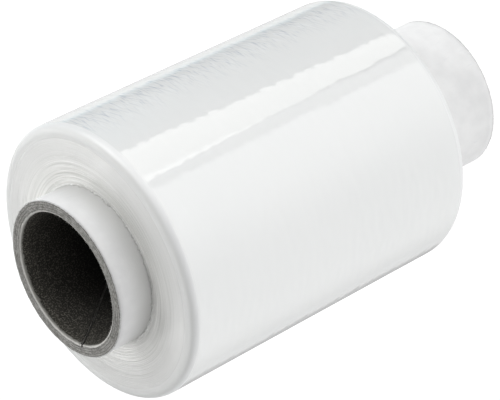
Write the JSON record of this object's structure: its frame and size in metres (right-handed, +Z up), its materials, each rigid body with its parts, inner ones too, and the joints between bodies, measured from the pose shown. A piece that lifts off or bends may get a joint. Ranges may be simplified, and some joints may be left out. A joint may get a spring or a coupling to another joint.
{
  "type": "stretch wrap roll",
  "caption": "Small roll of clear stretch film wound on a white-covered grey board core that stands out at both ends as hand grips.",
  "frame": {"origin": "centre of the core's lower cut end, which is the end of its longer grip and stands on the surface", "axes": "+Z up along the winding axis, from the long grip to the short one; X and Y are free round the axis, with the picture's camera on the -Y side"},
  "size_m": [0.0788, 0.0788, 0.139],
  "materials": {
    "grey_board": "matt grey board, fibrous, with the lines of its plies at the cut ends",
    "white_paper": "matt white paper, faintly mottled",
    "clear_film": "clear polyethylene film, glossy outside, milky white through its turns"
  },
  "bodies": {
    "root": {"core_tube": "grey_board", "core_outer_paper": "white_paper", "film_roll": "clear_film"}
  },
  "joints": []
}
